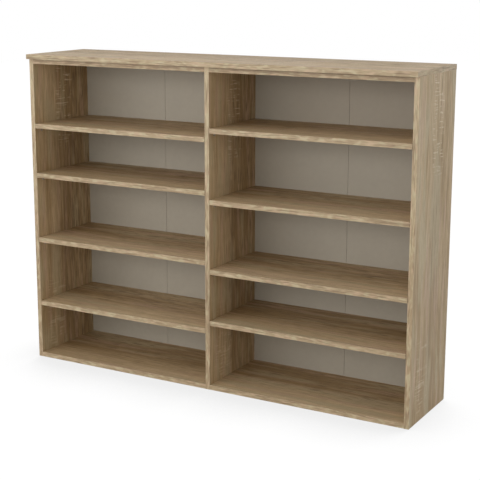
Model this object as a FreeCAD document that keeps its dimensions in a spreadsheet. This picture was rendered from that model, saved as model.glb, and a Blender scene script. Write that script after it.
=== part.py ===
import FreeCAD, Part
import os
import re
import Sketcher

# Open library shelving: one carcass with two bays and four loose shelves in each.
# Frame: X along the width, Y from front to back, Z up, millimetres.
# Origin: on the floor, under the middle of the bounding box.

SIZES = (
    ("board_thick", 18.0, "every faced board"),
    ("bay_width", 761.0, "clear width of each bay"),
    ("upright_height", 1182.0, "sides and partition, from their foot to the top board"),
    ("carcass_depth", 338.8, "finished depth of the uprights and fixed boards"),
    ("top_overhang", 18.0, "top board in front of the carcass"),
    ("band_thick", 1.0, "edge band glued on a board's edge"),
    ("band_round", 0.7, "radius on the outer edges of a band"),
    ("back_thick", 3.2, "back leaves"),
    ("back_inset", 1.0, "back leaves inside the outline of the carcass"),
    ("fold_gap", 1.0, "open joint between two back leaves"),
    ("tape_width", 30.0, "tape over a fold"),
    ("tape_thick", 0.2, "tape over a fold"),
    ("tape_inset", 12.0, "end of a tape from the end of its leaves"),
    ("hole_pitch", 32.0, "step between support bores"),
    ("first_hole", 16.0, "first step of the bores above an upright's foot"),
    ("left_step_one", 6.0, "bore step of each shelf, from the lowest up"),
    ("left_step_two", 14.0, ""),
    ("left_step_three", 22.0, ""),
    ("left_step_four", 28.0, ""),
    ("right_step_one", 7.0, ""),
    ("right_step_two", 13.0, ""),
    ("right_step_three", 21.0, ""),
    ("right_step_four", 29.0, ""),
    ("shelf_end_gap", 1.0, "shelf to upright at each end"),
    ("shelf_back_gap", 1.0, "shelf to back leaf"),
    ("support_inset", 37.0, "support bores from the front and from the back"),
    ("peg_size", 5.0, "diameter of a support's peg"),
    ("peg_length", 7.5, "peg in its bore"),
    ("peg_drop", 5.0, "axis of the peg below the shelf"),
    ("plate_thick", 1.5, "support's plate on the upright"),
    ("plate_width", 12.0, "support's plate and tongue"),
    ("plate_height", 14.0, "support's plate"),
    ("plate_toe", 6.0, "width of the plate's lower edge"),
    ("plate_taper", 4.5, "height over which the plate narrows to its toe"),
    ("tongue_length", 9.5, "tongue under the shelf, from the plate"),
    ("tongue_thick", 2.5, "tongue under the shelf"),
    ("fit_gap", 0.1, "all round a peg, dowel or fitting in its bore"),
    ("bore_spare", 1.0, "bore past the end of what it holds"),
    ("blind_spare", 0.5, "bore past the end of a peg or dowel in an upright"),
    ("dowel_inset", 50.0, "dowels from the front, where a board's edge shows"),
    ("dowel_size", 8.0, "diameter of a dowel"),
    ("dowel_in_side", 10.0, "dowel in a side"),
    ("dowel_in_board", 20.0, "dowel in a fixed board's end"),
    ("cam_inset", 34.0, "cam axis from the fixed board's end"),
    ("cam_size", 15.0, "diameter of a cam"),
    ("cam_height", 12.5, "height of a cam"),
    ("cam_hollow", 5.0, "radius of the hollow that holds the bolt head"),
    ("cam_hollow_shift", 1.0, "hollow off the cam's axis, which pulls the head"),
    ("cam_hollow_floor", 5.2, "floor of the hollow above the cam's lower face"),
    ("cam_cross", 8.0, "screwdriver cross in a cam"),
    ("cam_cross_depth", 3.0, ""),
    ("cam_cross_width", 1.6, ""),
    ("bolt_thread", 5.0, "diameter of a cam bolt in a side, and of its shank"),
    ("bolt_in_side", 11.0, "cam bolt in a side"),
    ("bolt_neck", 3.4, "diameter of the neck in the cam's slot"),
    ("bolt_neck_length", 6.0, ""),
    ("neck_gap", 0.2, "cam's slot beyond the neck"),
    ("bolt_head", 6.0, "diameter of the head in the cam"),
    ("bolt_head_length", 2.6, ""),
    ("bolt_bore", 8.0, "bore for a cam bolt in a fixed board's end"),
    ("glide_height", 2.5, "floor glide, glued under an upright"),
    ("glide_size", 16.0, "diameter of a glide"),
    ("glide_bevel", 1.0, "bevel on a glide's lower edge"),
    ("glide_inset", 40.0, "glides from the front and from the back"),
)

# Sizes that several pieces share, in terms of the sheet.
TOTAL_WIDTH = "(2 * bay_width + 3 * board_thick)"
TOP_DEPTH = "(top_overhang + carcass_depth + back_thick)"
FRONT = "(top_overhang - (" + TOP_DEPTH + " + tape_thick) / 2)"
CARCASS_BACK = "(" + FRONT + " + carcass_depth)"
BAY_START = {"left": "(-board_thick / 2 - bay_width)", "right": "(board_thick / 2)"}
CAM_ROW = "carcass_depth / 2"
DOWEL_ROW = "dowel_inset"
SUPPORT_ROWS = ("support_inset", "carcass_depth - support_inset")
GLIDE_ROWS = ("glide_inset", "carcass_depth - glide_inset")
BOARD_LEVELS = ("board_thick / 2", "upright_height - board_thick / 2")
SHELF_STEPS = {
    "left": ("left_step_one", "left_step_two", "left_step_three", "left_step_four"),
    "right": ("right_step_one", "right_step_two", "right_step_three", "right_step_four"),
}
TINY = 1e-6
STRAIGHT = FreeCAD.Rotation()
ABOUT = FreeCAD.Rotation(FreeCAD.Vector(0, 0, 1), 180)

doc = FreeCAD.newDocument("library_shelving")
sheet = doc.addObject("Spreadsheet::Sheet", "Sizes")
parts = []


# --- sheet and expressions ---------------------------------------------------------

def fill_sheet():
    for row, (alias, number, note) in enumerate(SIZES, 1):
        sheet.set(f"A{row}", alias)
        sheet.set(f"B{row}", str(number))
        sheet.set(f"C{row}", note)
        sheet.setAlias(f"B{row}", alias)
    doc.recompute()


def formula(text):
    """The text with each size's name turned into its cell in the sheet."""
    names = "|".join(alias for alias, number, note in SIZES)
    return re.sub(rf"\b({names})\b", r"Sizes.\1", text)


def value(text):
    return float(sheet.evalExpression(formula(text)))


def place(thing, x, y, z, turn=STRAIGHT):
    """Binds where a thing stands."""
    thing.Placement = FreeCAD.Placement(FreeCAD.Vector(value(x), value(y), value(z)), turn)
    thing.setExpression("Placement.Base.x", formula(x))
    thing.setExpression("Placement.Base.y", formula(y))
    thing.setExpression("Placement.Base.z", formula(z))


# --- sketches and features ------------------------------------------------------------

def new_body(label):
    body = doc.addObject("PartDesign::Body", label)
    body.Label = label
    return body


def new_sketch(body, name, plane, offset="0"):
    """A sketch on one of the body's own planes, moved along its normal."""
    sketch = body.newObject("Sketcher::SketchObject", name)
    support = [item for item in body.Origin.OriginFeatures if item.Role == plane][0]
    sketch.AttachmentSupport = [(support, "")]
    sketch.MapMode = "FlatFace"
    sketch.AttachmentOffset.Base.z = value(offset)
    sketch.setExpression("AttachmentOffset.Base.z", formula(offset))
    return sketch


def drive(sketch, dimensions):
    """Adds driving dimensions (kind, what it measures, formula) that follow their formulas."""
    made = [Sketcher.Constraint(kind, *where, value(text)) for kind, where, text in dimensions]
    for number, (kind, where, text) in zip(sketch.addConstraint(made), dimensions):
        sketch.setExpression(f"Constraints[{number}]", formula(text))


def pins(item, point, spot):
    """Dimensions that set a point at a spot measured from the sketch's origin."""
    across, up = spot
    return [("DistanceX", (-1, 1, item, point), across), ("DistanceY", (-1, 1, item, point), up)]


def draw_outline(sketch, spots):
    """A closed outline of straight lines through its spots."""
    points = [FreeCAD.Vector(value(across), value(up), 0) for across, up in spots]
    sides = [Part.LineSegment(start, end) for start, end in zip(points, points[1:] + points[:1])]
    lines = sketch.addGeometry(sides, False)
    sketch.addConstraint([Sketcher.Constraint("Coincident", line, 2, following, 1)
                          for line, following in zip(lines, lines[1:] + lines[:1])])
    drive(sketch, [dimension for line, spot in zip(lines, spots) for dimension in pins(line, 1, spot)])


def draw_rectangle(sketch, x_from, y_from, x_to, y_to):
    draw_outline(sketch, [(x_from, y_from), (x_to, y_from), (x_to, y_to), (x_from, y_to)])


def draw_circles(sketch, spots, diameter):
    up_axis = FreeCAD.Vector(0, 0, 1)
    circles = [Part.Circle(FreeCAD.Vector(value(across), value(up), 0), up_axis, value(diameter) / 2)
               for across, up in spots]
    dimensions = []
    for item, spot in zip(sketch.addGeometry(circles, False), spots):
        dimensions.append(("Diameter", (item,), diameter))
        dimensions += pins(item, 3, spot)
    drive(sketch, dimensions)


def pad(body, sketch, length, backwards=False):
    feature = body.newObject("PartDesign::Pad", sketch.Name + "_pad")
    feature.Profile = sketch
    feature.Length = value(length)
    feature.setExpression("Length", formula(length))
    feature.Reversed = backwards
    doc.recompute()
    return feature


def pocket(body, sketch, depth, forwards=False, midplane=False):
    """A cut, which has to take something away."""
    before = body.Shape.Volume
    feature = body.newObject("PartDesign::Pocket", sketch.Name + "_cut")
    feature.Profile = sketch
    feature.Length = value(depth)
    feature.setExpression("Length", formula(depth))
    feature.Reversed = forwards
    feature.Midplane = midplane
    doc.recompute()
    if body.Shape.Volume > before - TINY:
        raise RuntimeError(f"{body.Label}: {feature.Name} cuts nothing")


def revolve(body, sketch, axis):
    feature = body.newObject("PartDesign::Revolution", sketch.Name + "_turned")
    feature.Profile = sketch
    feature.ReferenceAxis = (sketch, [axis])
    feature.Angle = 360
    doc.recompute()


def round_edges(body, base, chosen, radius):
    """A fillet on the base's edges that the chooser picks."""
    names = [f"Edge{number}" for number, edge in enumerate(base.Shape.Edges, 1) if chosen(edge)]
    if not names:
        raise RuntimeError(f"{body.Label}: no edge to round")
    feature = body.newObject("PartDesign::Fillet", body.Name + "_rounded")
    feature.Base = (base, names)
    feature.setExpression("Radius", formula(radius))
    doc.recompute()


def bores(body, name, plane, offset, spots, diameter, depth, forwards):
    """One cut for a row of equal round bores in a face of the body."""
    sketch = new_sketch(body, body.Name + "_" + name, plane, offset)
    draw_circles(sketch, spots, diameter)
    pocket(body, sketch, depth, forwards)


# --- boards and their edge bands -------------------------------------------------------

def board_core(label, length, depth, height):
    """A board with its front corner at the body's origin, less its front band."""
    body = new_body(label)
    sketch = new_sketch(body, label + "_outline", "XY_Plane")
    draw_rectangle(sketch, "0", "band_thick", length, depth)
    pad(body, sketch, height)
    parts.append(body)
    return body


def band(label, length, thick, height, rounded):
    """An edge band with its outer corner at the origin and rounded outer edges."""
    body = new_body(label)
    sketch = new_sketch(body, label + "_outline", "XY_Plane")
    draw_rectangle(sketch, "0", "0", length, thick)
    strip = pad(body, sketch, height)
    round_edges(body, strip, rounded, "band_round")
    parts.append(body)
    return body


def runs_up(edge):
    return edge.BoundBox.ZLength > edge.Length - TINY


def runs_across(edge):
    return edge.BoundBox.XLength > edge.Length - TINY


def runs_back(edge):
    return edge.BoundBox.YLength > edge.Length - TINY


def on_front(edge):
    return edge.BoundBox.YMax < TINY


def upright_band(label, x):
    body = band(label, "board_thick", "band_thick", "upright_height",
                lambda edge: runs_up(edge) and on_front(edge))
    place(body, x, FRONT, "glide_height")


def board_band(label, length, x, z):
    body = band(label, length, "band_thick", "board_thick",
                lambda edge: runs_across(edge) and on_front(edge))
    place(body, x, FRONT, z)


def support_spots(side):
    """Support bores of one bay, seen on the face of an upright."""
    heights = [f"first_hole + {step} * hole_pitch" for step in SHELF_STEPS[side]]
    return [(row, up) for up in heights for row in SUPPORT_ROWS]


def level_spots(row):
    """Joints of the two levels of fixed boards, seen on the face of an upright."""
    return [(row, up) for up in BOARD_LEVELS]


def upright(label, x):
    body = board_core(label, "board_thick", "carcass_depth", "upright_height")
    place(body, x, FRONT, "glide_height")
    upright_band(label + "_band", x)
    return body


def side(label, x, bay, inner_face, forwards):
    """A side: its inner face carries supports, cam bolts and dowels."""
    body = upright(label, x)
    bores(body, "support_bores", "YZ_Plane", inner_face, support_spots(bay),
          "peg_size + 2 * fit_gap", "peg_length + blind_spare", forwards)
    bores(body, "bolt_bores", "YZ_Plane", inner_face, level_spots(CAM_ROW),
          "bolt_thread + 2 * fit_gap", "bolt_in_side + bore_spare", forwards)
    bores(body, "dowel_bores", "YZ_Plane", inner_face, level_spots(DOWEL_ROW),
          "dowel_size + 2 * fit_gap", "dowel_in_side + blind_spare", forwards)


def partition(label, x):
    """The middle upright: its joints go right through, its support bores do not."""
    body = upright(label, x)
    for bay, face, forwards in (("left", "0", True), ("right", "board_thick", False)):
        bores(body, bay + "_support_bores", "YZ_Plane", face, support_spots(bay),
              "peg_size + 2 * fit_gap", "peg_length + blind_spare", forwards)
    bores(body, "bolt_bores", "YZ_Plane", "0", level_spots(CAM_ROW),
          "bolt_thread + 2 * fit_gap", "board_thick", forwards=True)
    bores(body, "dowel_bores", "YZ_Plane", "0", level_spots(DOWEL_ROW),
          "dowel_size + 2 * fit_gap", "board_thick", forwards=True)


def fixed_board(label, bay, z):
    """A board between two uprights: at each end a cam, reached from below, and a dowel before it."""
    body = board_core(label, "bay_width", "carcass_depth", "board_thick")
    middle = "board_thick / 2"
    for end, face, forwards in (("left", "0", True), ("right", "bay_width", False)):
        bores(body, end + "_bolt_bore", "YZ_Plane", face, [(CAM_ROW, middle)],
              "bolt_bore + 2 * fit_gap", "cam_inset", forwards)
        bores(body, end + "_dowel_bore", "YZ_Plane", face, [(DOWEL_ROW, middle)],
              "dowel_size + 2 * fit_gap", "dowel_in_board + bore_spare", forwards)
    cam_spots = [(across, CAM_ROW) for across in ("cam_inset", "bay_width - cam_inset")]
    bores(body, "cam_bores", "XY_Plane", "0", cam_spots, "cam_size + 2 * fit_gap",
          "cam_height + bore_spare", forwards=True)
    place(body, BAY_START[bay], FRONT, z)
    board_band(label + "_band", "bay_width", BAY_START[bay], z)


def top_board():
    """The top, with a band on each of its four edges."""
    body = new_body("top_board")
    sketch = new_sketch(body, "top_board_outline", "XY_Plane")
    draw_rectangle(sketch, "band_thick", "band_thick",
                   TOTAL_WIDTH + " - band_thick", TOP_DEPTH + " - band_thick")
    pad(body, sketch, "board_thick")
    parts.append(body)
    x, y, z = f"-{TOTAL_WIDTH} / 2", FRONT + " - top_overhang", "glide_height + upright_height"
    place(body, x, y, z)

    front = band("top_band_front", TOTAL_WIDTH, "band_thick", "board_thick",
                 lambda edge: runs_across(edge) and on_front(edge))
    place(front, x, y, z)
    back = band("top_band_back", TOTAL_WIDTH, "band_thick", "board_thick",
                lambda edge: runs_across(edge) and edge.BoundBox.YMin > TINY)
    place(back, x, f"{y} + {TOP_DEPTH} - band_thick", z)
    end_depth = TOP_DEPTH + " - 2 * band_thick"
    left = band("top_band_left", "band_thick", end_depth, "board_thick",
                lambda edge: runs_back(edge) and edge.BoundBox.XMax < TINY)
    place(left, x, y + " + band_thick", z)
    right = band("top_band_right", "band_thick", end_depth, "board_thick",
                 lambda edge: runs_back(edge) and edge.BoundBox.XMin > TINY)
    place(right, f"{TOTAL_WIDTH} / 2 - band_thick", y + " + band_thick", z)


def shelf(label, bay, step):
    """A loose shelf, flush in front, on four supports."""
    length = "bay_width - 2 * shelf_end_gap"
    x = BAY_START[bay] + " + shelf_end_gap"
    z = f"glide_height + first_hole + {step} * hole_pitch + peg_drop"
    body = board_core(label, length, "carcass_depth - shelf_back_gap", "board_thick")
    place(body, x, FRONT, z)
    board_band(label + "_band", length, x, z)


# --- back ----------------------------------------------------------------------------

def back_leaf(label, x_from, x_to):
    """One leaf of a folded back, drawn where it stands behind the carcass."""
    body = new_body(label)
    sketch = new_sketch(body, label + "_outline", "XZ_Plane")
    draw_rectangle(sketch, x_from, "back_inset", x_to, "upright_height - back_inset")
    pad(body, sketch, "back_thick", backwards=True)
    parts.append(body)
    place(body, "0", CARCASS_BACK, "glide_height")


def fold_tape(label, x):
    """Tape glued over the fold between two leaves, behind them."""
    tape = doc.addObject("Part::Box", label)
    tape.Label = label
    tape.setExpression("Length", formula("tape_width"))
    tape.setExpression("Width", formula("tape_thick"))
    tape.setExpression("Height", formula("upright_height - 2 * back_inset - 2 * tape_inset"))
    place(tape, f"{x} - tape_width / 2", CARCASS_BACK + " + back_thick",
          "glide_height + back_inset + tape_inset")
    parts.append(tape)


def back():
    """Each bay has a back of two leaves that fold on a tape."""
    half = TOTAL_WIDTH + " / 2"
    fold = TOTAL_WIDTH + " / 4"
    back_leaf("back_leaf_1", f"back_inset - {half}", f"-{fold} - fold_gap / 2")
    back_leaf("back_leaf_2", f"fold_gap / 2 - {fold}", "-fold_gap / 2")
    back_leaf("back_leaf_3", "fold_gap / 2", f"{fold} - fold_gap / 2")
    back_leaf("back_leaf_4", f"{fold} + fold_gap / 2", f"{half} - back_inset")
    fold_tape("back_fold_tape_left", f"-{fold}")
    fold_tape("back_fold_tape_right", fold)


# --- fittings ---------------------------------------------------------------------------

def copies(label, master, places):
    """A node of equal fittings: one modelled piece, shown at each place."""
    links = []
    for number, (x, y, z, turn) in enumerate(places, 1):
        link = doc.addObject("App::Link", f"{label}_{number}")
        link.LinkedObject = master
        place(link, x, y, z, turn)
        links.append(link)
    group = doc.addObject("Part::Compound", label)
    group.Label = label
    group.Links = links
    parts.append(group)


def support():
    """A shelf support: peg, shield-shaped plate and tongue; its peg points to -X."""
    body = new_body("support")
    half, toe = "plate_width / 2", "plate_toe / 2"
    foot = "peg_drop - plate_height"
    shoulder = foot + " + plate_taper"
    plate = new_sketch(body, "support_plate", "YZ_Plane")
    draw_outline(plate, [("-" + half, "peg_drop"), ("-" + half, shoulder), ("-" + toe, foot),
                         (toe, foot), (half, shoulder), (half, "peg_drop")])
    pad(body, plate, "plate_thick")
    tongue = new_sketch(body, "support_tongue", "YZ_Plane", "plate_thick")
    draw_rectangle(tongue, "-" + half, "peg_drop - tongue_thick", half, "peg_drop")
    pad(body, tongue, "tongue_length")
    peg = new_sketch(body, "support_peg", "YZ_Plane")
    draw_circles(peg, [("0", "0")], "peg_size")
    pad(body, peg, "peg_length", backwards=True)
    return body


def supports(bay, number, step, master):
    """The four supports of one shelf."""
    start = BAY_START[bay]
    z = f"glide_height + first_hole + {step} * hole_pitch"
    spots = []
    for row in SUPPORT_ROWS:
        spots.append((start, f"{FRONT} + {row}", z, STRAIGHT))
        spots.append((start + " + bay_width", f"{FRONT} + {row}", z, ABOUT))
    copies(f"supports_{bay}_{number}", master, spots)


def cross_outline(reach, width):
    """Corners of a screwdriver cross, anticlockwise."""
    arm, half = f"{reach} / 2", f"{width} / 2"
    corners = [(arm, half), (half, half), (half, arm)]
    corners += [(f"-{x}", y) for x, y in reversed(corners)]
    return corners + [(f"-({x})", f"-({y})") for x, y in corners]


def cam():
    """A cam: an eccentric hollow for the bolt head, a slot for its neck, a way in, a cross."""
    body = new_body("cam")
    drum = new_sketch(body, "cam_drum", "XY_Plane")
    draw_circles(drum, [("0", "0")], "cam_size")
    pad(body, drum, "cam_height")
    hollow = new_sketch(body, "cam_hollow_outline", "XY_Plane", "cam_height")
    draw_circles(hollow, [("cam_hollow_shift", "0")], "2 * cam_hollow")
    pocket(body, hollow, "cam_height - cam_hollow_floor")
    slot = new_sketch(body, "cam_neck_slot", "XY_Plane", "board_thick / 2")
    draw_rectangle(slot, "-cam_size", "-cam_size", "0", "bolt_neck / 2 + neck_gap")
    pocket(body, slot, "bolt_neck + 2 * neck_gap", midplane=True)
    way_in = new_sketch(body, "cam_way_in", "XY_Plane", "cam_height")
    draw_rectangle(way_in, "-bolt_head / 2 - fit_gap", "-cam_size", "bolt_head / 2 + fit_gap", "0")
    pocket(body, way_in, "cam_height - cam_hollow_floor")
    cross = new_sketch(body, "cam_cross_outline", "XY_Plane")
    draw_outline(cross, cross_outline("cam_cross", "cam_cross_width"))
    pocket(body, cross, "cam_cross_depth", forwards=True)
    return body


def bolt_end(start):
    """Half outline of a bolt's shank, neck and head, as (along, radius), from an upright's face."""
    head = f"{start} + cam_inset - bolt_head_length"
    neck = f"{head} - bolt_neck_length"
    return [(neck, "bolt_thread / 2"), (neck, "bolt_neck / 2"), (head, "bolt_neck / 2"),
            (head, "bolt_head / 2"), (f"{start} + cam_inset", "bolt_head / 2")]


def cam_bolt():
    """A cam bolt; x = 0 is the face of the side that it is screwed into."""
    body = new_body("cam_bolt")
    sketch = new_sketch(body, "cam_bolt_outline", "XY_Plane")
    draw_outline(sketch, [("-bolt_in_side", "0"), ("-bolt_in_side", "bolt_thread / 2")]
                 + bolt_end("0") + [("cam_inset", "0")])
    revolve(body, sketch, "H_Axis")
    return body


def double_bolt():
    """A bolt with a head at each end; x = 0 is the middle of the partition."""
    body = new_body("double_bolt")
    sketch = new_sketch(body, "double_bolt_outline", "XY_Plane")
    near = bolt_end("board_thick / 2")
    far = [(f"-({along})", radius) for along, radius in reversed(near)]
    draw_outline(sketch, [("-board_thick / 2 - cam_inset", "0")] + far + near
                 + [("board_thick / 2 + cam_inset", "0")])
    revolve(body, sketch, "H_Axis")
    return body


def dowel(label, x_from, length):
    body = new_body(label)
    sketch = new_sketch(body, label + "_outline", "YZ_Plane", x_from)
    draw_circles(sketch, [("0", "0")], "dowel_size")
    pad(body, sketch, length)
    return body


def glide():
    """A glued floor glide with a bevelled lower edge; z = 0 is the floor."""
    body = new_body("glide")
    sketch = new_sketch(body, "glide_outline", "XZ_Plane")
    draw_outline(sketch, [
        ("0", "0"), ("glide_size / 2 - glide_bevel", "0"), ("glide_size / 2", "glide_bevel"),
        ("glide_size / 2", "glide_height"), ("0", "glide_height")])
    revolve(body, sketch, "V_Axis")
    return body


def side_joints(row):
    """Places of a joint between a fixed board and a side, at both ends of the carcass."""
    places = []
    for depth, up in level_spots(row):
        y, z = f"{FRONT} + {depth}", f"glide_height + {up}"
        places.append((BAY_START["left"], y, z, STRAIGHT))
        places.append((BAY_START["right"] + " + bay_width", y, z, ABOUT))
    return places


def middle_joints(row):
    return [("0", f"{FRONT} + {depth}", f"glide_height + {up}", STRAIGHT) for depth, up in level_spots(row)]


def cam_places():
    """A cam at each end of each fixed board, turned so that its slot meets the bolt."""
    places = []
    for start in BAY_START.values():
        for depth, up in level_spots(CAM_ROW):
            y, z = f"{FRONT} + {depth}", f"glide_height + {up} - board_thick / 2"
            places.append((f"{start} + cam_inset", y, z, STRAIGHT))
            places.append((f"{start} + bay_width - cam_inset", y, z, ABOUT))
    return places


def fittings():
    master = support()
    for bay, steps in SHELF_STEPS.items():
        for number, step in enumerate(steps, 1):
            supports(bay, number, step, master)
    copies("cam_locks", cam(), cam_places())
    copies("cam_bolts", cam_bolt(), side_joints(CAM_ROW))
    copies("double_cam_bolts", double_bolt(), middle_joints(CAM_ROW))
    short_dowel = dowel("short_dowel", "-dowel_in_side", "dowel_in_side + dowel_in_board")
    copies("dowels", short_dowel, side_joints(DOWEL_ROW))
    long_dowel = dowel("long_dowel", "-board_thick / 2 - dowel_in_board", "board_thick + 2 * dowel_in_board")
    copies("partition_dowels", long_dowel, middle_joints(DOWEL_ROW))
    copies("floor_glides", glide(), [
        (x, f"{FRONT} + {row}", "0", STRAIGHT)
        for x in ("-board_thick - bay_width", "0", "board_thick + bay_width") for row in GLIDE_ROWS])


# --- the whole ----------------------------------------------------------------------------

def carcass():
    side("left_side", BAY_START["left"] + " - board_thick", "left", "board_thick", forwards=False)
    side("right_side", BAY_START["right"] + " + bay_width", "right", "0", forwards=True)
    partition("middle_partition", "-board_thick / 2")
    for bay in BAY_START:
        fixed_board("bottom_board_" + bay, bay, "glide_height")
        fixed_board("carcass_top_" + bay, bay, "glide_height + upright_height - board_thick")
        for number, step in enumerate(SHELF_STEPS[bay], 1):
            shelf(f"shelf_{bay}_{number}", bay, step)
    top_board()


def check_and_export():
    """Writes each sub-part's STEP file, once the whole document is sound."""
    doc.recompute()
    for item in doc.Objects:
        if "Invalid" in item.State or "Error" in item.State:
            raise RuntimeError(f"{item.Label} failed: {item.State}")
    for item in parts:
        if item.Shape.isNull() or not item.Shape.isValid():
            raise RuntimeError(f"{item.Label} has no sound shape")
    os.makedirs("parts", exist_ok=True)
    for item in parts:
        item.Shape.exportStep(os.path.join("parts", item.Label + ".step"))


fill_sheet()
carcass()
back()
fittings()
check_and_export()
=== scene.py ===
import math

import bmesh
import bpy
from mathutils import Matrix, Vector


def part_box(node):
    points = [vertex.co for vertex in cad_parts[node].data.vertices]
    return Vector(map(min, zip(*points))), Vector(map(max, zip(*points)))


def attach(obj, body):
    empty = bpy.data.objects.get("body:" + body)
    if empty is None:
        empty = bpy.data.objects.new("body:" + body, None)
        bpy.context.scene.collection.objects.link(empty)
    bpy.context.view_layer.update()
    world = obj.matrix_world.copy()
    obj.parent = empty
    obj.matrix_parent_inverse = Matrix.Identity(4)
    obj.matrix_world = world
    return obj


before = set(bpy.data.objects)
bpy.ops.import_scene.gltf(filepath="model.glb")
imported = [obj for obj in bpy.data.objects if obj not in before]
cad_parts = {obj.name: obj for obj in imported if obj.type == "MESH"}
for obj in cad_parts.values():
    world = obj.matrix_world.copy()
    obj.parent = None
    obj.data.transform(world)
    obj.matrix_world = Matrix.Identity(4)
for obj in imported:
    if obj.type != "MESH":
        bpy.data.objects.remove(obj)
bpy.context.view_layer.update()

# Open library shelving in sawn-oak decor: the finish of every piece, the studio light and the camera.
# Metres, in the frame of the CAD part: X along the width, Y from front to back, Z up from the floor.

# Camera: where it stands, where it points, and its lens for a square picture.
PICTURE_WIDTH = 480
FOCAL_PIXELS = 1186.7
LENS_AXIS_PIXEL = (230.7, 221.8)
SENSOR_WIDTH = 36.0
CAMERA_PLACE = (2.1489, -3.7165, 1.5126)
CAMERA_TURN = math.radians(29.99)
CAMERA_DOWN = math.radians(11.95)

# Light: a sky that is brighter low down, and one wide soft lamp from the front left.
SKY_LOW = (1.065, 1.065, 1.06)
SKY_HIGH = (0.49, 0.49, 0.50)
SKY_RISE = (0.1, 0.75)
LAMP_POWER = 80.0
LAMP_WIDTH = 5.5
LAMP_HEIGHT = 1.4
LAMP_PLACE = (-1.5, -4.2, 1.75)
LAMP_AIM = (0.0, 0.0, 0.6)

# Floor: the light that it throws back, its own shade, and the white that lifts it where it is seen.
FLOOR_RADIUS = 16.0
FLOOR_SIDES = 96
FLOOR_BOUNCE = (0.69, 0.69, 0.69)
FLOOR_SHADE = (0.07, 0.07, 0.07)
FLOOR_MOTTLE = 0.02
FLOOR_LIFT = 0.972

# Contact shade: how much darker the floor is where pieces within reach stand over it. It looks for them
# leaning back, so that it lies in front of the unit, and outwards by the spread for each metre from the
# middle, so that it fades beside the ends.
CONTACT_SHADE = 0.17
CONTACT_REACH = 0.44
CONTACT_LEAN = (0.0, 0.45, 0.88)
CONTACT_SPREAD = 0.32

# Oak decor of the board faces and of the lighter edge bands.
FACE_COLOURS = {"Light": (0.69, 0.522, 0.315), "Dark": (0.36, 0.233, 0.102),
                "Blush": (0.56, 0.385, 0.25), "Moss": (0.52, 0.42, 0.25)}
BAND_COLOURS = {"Light": (0.555, 0.45, 0.275), "Dark": (0.37, 0.265, 0.15),
                "Blush": (0.555, 0.395, 0.253), "Moss": (0.535, 0.455, 0.278)}
PORE_COLOUR = (0.19, 0.12, 0.06)
SAWN_COLOUR = (0.80, 0.67, 0.46)
RUBBED_COLOUR = (0.66, 0.55, 0.39)

# How many flames of the decor lie in a metre, along the grain and across it, and their contrast.
UPRIGHT_FLAMES, UPRIGHT_CONTRAST = 4.5, 3.5
TOP_FLAMES, TOP_CONTRAST = 2.6, 3.5
FLAT_FLAMES, FLAT_CONTRAST = 2.6, 2.4
FLAMES_ACROSS = 95.0
BAND_FLAMES, BAND_FLAMES_ACROSS, BAND_CONTRAST = 36.0, 310.0, 3.4

# How many fibres, pores, streaks and saw strokes lie in a metre: along the grain, across it and through.
FIBRES_PER_METRE = (7.0, 750.0, 3.0)
PORES_PER_METRE = (26.0, 1300.0, 3.0)
STREAKS_PER_METRE = (15.0, 230.0, 3.0)
SAW_STROKES_ALONG, SAW_STROKES_ACROSS = 165.0, 9.0

# How far the grain sways in all, from one side to the other, and how far the saw strokes lean and wander.
GRAIN_SWAY = 0.06
SAW_LEAN = 0.07
SAW_WANDER = 0.012

# How strongly the pores, the two tints, the saw marks and the rubbed edges show, and the heights of
# pores, fibres and saw marks in the relief, where pores are sunken.
PORES_SHOW = 0.4
TINTS_SHOW = 0.7
SAW_MARKS_SHOW = 0.8
RUBBED_SHOW = 0.3
PORE_RELIEF, FIBRE_RELIEF, SAW_RELIEF = -0.6, 0.4, 0.5

# Dark streaks and added contrast, both growing towards the back of a board: partly the decor's own figure,
# partly painted shade at the back of the bays.
STREAKS_IN_FRONT, STREAKS_GROWTH, CONTRAST_GROWTH = 0.25, 0.6, 1.1
BAND_STREAKS = 0.6

# Spots of the decor, as (middle, reach) pairs: along the grain, from the foot or the middle of the unit,
# and behind the front edge. The last number is the strength.
UPRIGHT_SAW_MARKS = (((1.02, 0.22), (0.18, 0.06), 0.85), ((0.16, 0.17), (0.10, 0.07), 0.45))
UPRIGHT_VEINS = (((0.40, 0.34), (0.163, 0.0075), 0.42), ((0.55, 0.30), (0.192, 0.006), 0.2),
                 ((0.50, 0.75), (0.170, 0.075), 0.12))
TOP_SAW_MARKS = (((-0.62, 0.22), (0.12, 0.10), 0.6), ((0.10, 0.30), (0.20, 0.06), 0.6))
TOP_VEINS = (((-0.35, 0.70), (0.17, 0.08), 0.13),)
SAW_MARKS_RAGGED = 0.05
VEINS_RAGGED = 0.003

# The outer faces are painted cooler, as the cooler light on them, and between the two heights painted
# from darker at the foot to lighter at the top, as light that is stronger higher up; the painted shade
# and the streaks that change with the depth are weaker there by the calm.
OUTER_COOL_LIGHT = (0.973, 1.016, 1.083)
OUTER_HEIGHTS = (0.2, 1.1)
OUTER_LIGHT_TONES = (-0.28, 0.06)
OUTER_CALM = 0.75
SKIN = 0.001

# A surface counts as a board's face where it is at least this square to the face axis.
SQUARE_ON = 0.7

# The bands of the carcass tops get a painted shade close under the top board, read from occlusion within the
# reach.
NOOK_SHADE_COLOUR = (0.15, 0.095, 0.042)
NOOK_SHADE_REACH = 0.03
NOOK_SHADE_STRENGTHS = {"left": 0.7, "right": 0.92}

# The lower bays, each by the boards under and over it, and how much darker their boards are painted, as the
# shade in these shallow bays.
LOW_BAYS = (("bottom_board_left", "shelf_left_1", 1.0), ("shelf_left_3", "shelf_left_4", 1.0),
            ("bottom_board_right", "shelf_right_1", 0.4), ("shelf_right_1", "shelf_right_2", 1.5))
LOW_BAY_SHADE = -0.17
LOW_BAY_SILL = 0.0005
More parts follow.
